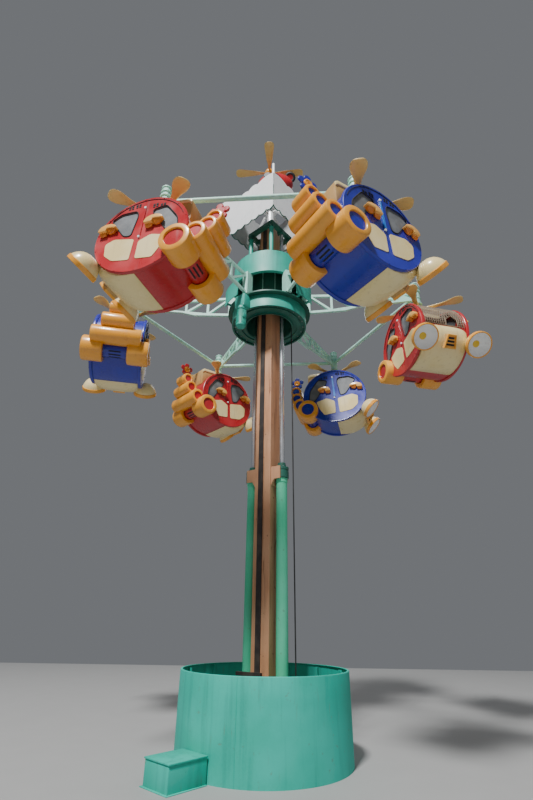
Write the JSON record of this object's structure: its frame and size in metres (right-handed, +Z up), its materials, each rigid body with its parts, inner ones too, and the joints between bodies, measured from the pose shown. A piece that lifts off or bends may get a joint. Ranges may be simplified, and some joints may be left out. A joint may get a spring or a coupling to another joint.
{
  "type": "helicopter tower ride",
  "caption": "Tower ride: a square mast in a round pit wall, a lifting hub with radial truss arms and hanging helicopter cabins, and an open crown of cloud-shaped boards with a small helicopter on top.",
  "frame": {"origin": "middle of the mast foot's underside, on the ground", "axes": "+Z up along the mast, -Y towards the side with the junction box, +X to that side's right"},
  "size_m": [7.3629, 7.0063, 11.003],
  "materials": {
    "teal_paint": "satin",
    "mint_paint": "satin",
    "dark_green_paint": "satin",
    "tan_paint": "satin",
    "polished_rod": "polished",
    "cable_black": "matte",
    "strip_black": "matte",
    "roof_white": "gloss",
    "cabin_red": "gloss",
    "cabin_blue": "gloss",
    "nose_cream": "gloss",
    "log_orange": "gloss",
    "blade_tan": "gloss"
  },
  "bodies": {
    "base": {"drum_left": "teal_paint", "drum_right": "teal_paint", "junction_box": "mint_paint", "mast_foot": "tan_paint", "mast": "tan_paint", "mast_guide_strip": "strip_black", "cylinder_left": "teal_paint", "cylinder_right": "teal_paint", "cylinder_clamp_left": "tan_paint", "cylinder_clamp_right": "tan_paint", "roof_front": "roof_white", "roof_back": "roof_white", "roof_post": "roof_white", "roof_helicopter": "cabin_red", "roof_rotor": "log_orange"},
    "carriage": {"carriage_base": "teal_paint", "carriage_core": "dark_green_paint", "top_frame": "dark_green_paint", "rod_left": "polished_rod", "rod_right": "polished_rod", "gear_motor": "dark_green_paint", "supply_cable": "cable_black"},
    "turntable": {"turntable_ring": "dark_green_paint", "turntable_band": "mint_paint", "arm_1": "mint_paint", "arm_2": "mint_paint", "arm_3": "mint_paint", "arm_4": "mint_paint", "arm_5": "mint_paint", "arm_6": "mint_paint", "tie_bar_1": "mint_paint", "tie_bar_2": "mint_paint", "tie_bar_3": "mint_paint", "tie_bar_4": "mint_paint", "tie_bar_5": "mint_paint", "tie_bar_6": "mint_paint"},
    "gondola_1": {"gondola_1_cabin": "cabin_red", "gondola_1_nose": "nose_cream", "gondola_1_tail": "log_orange", "gondola_1_rotor": "blade_tan"},
    "gondola_2": {"gondola_2_cabin": "cabin_blue", "gondola_2_nose": "nose_cream", "gondola_2_tail": "log_orange", "gondola_2_rotor": "blade_tan"},
    "gondola_3": {"gondola_3_cabin": "cabin_red", "gondola_3_nose": "nose_cream", "gondola_3_tail": "log_orange", "gondola_3_rotor": "blade_tan"},
    "gondola_4": {"gondola_4_cabin": "cabin_blue", "gondola_4_nose": "nose_cream", "gondola_4_tail": "log_orange", "gondola_4_rotor": "blade_tan"},
    "gondola_5": {"gondola_5_cabin": "cabin_red", "gondola_5_nose": "nose_cream", "gondola_5_tail": "log_orange", "gondola_5_rotor": "blade_tan"},
    "gondola_6": {"gondola_6_cabin": "cabin_blue", "gondola_6_nose": "nose_cream", "gondola_6_tail": "log_orange", "gondola_6_rotor": "blade_tan"}
  },
  "joints": [
    {"name": "lift", "type": "slide", "parent": "base", "child": "carriage", "axis": [0, 0, 1], "range_m": [-4.9, 0], "deforming": ["rod_left", "rod_right", "supply_cable"]},
    {"name": "spin", "type": "hinge", "parent": "carriage", "child": "turntable", "pos_m": [0, 0, 6.86], "axis": [0, 0, 1], "continuous": true},
    {"name": "swivel_1", "type": "hinge", "parent": "turntable", "child": "gondola_1", "pos_m": [2.8022, -0.1469, 7], "axis": [0, 0, 1], "continuous": true},
    {"name": "swivel_2", "type": "hinge", "parent": "turntable", "child": "gondola_2", "pos_m": [1.5283, 2.3533, 7], "axis": [0, 0, 1], "continuous": true},
    {"name": "swivel_3", "type": "hinge", "parent": "turntable", "child": "gondola_3", "pos_m": [-1.2739, 2.5002, 7], "axis": [0, 0, 1], "continuous": true},
    {"name": "swivel_4", "type": "hinge", "parent": "turntable", "child": "gondola_4", "pos_m": [-2.8022, 0.1469, 7], "axis": [0, 0, 1], "continuous": true},
    {"name": "swivel_5", "type": "hinge", "parent": "turntable", "child": "gondola_5", "pos_m": [-1.5283, -2.3533, 7], "axis": [0, 0, 1], "continuous": true},
    {"name": "swivel_6", "type": "hinge", "parent": "turntable", "child": "gondola_6", "pos_m": [1.2739, -2.5002, 7], "axis": [0, 0, 1], "continuous": true}
  ]
}
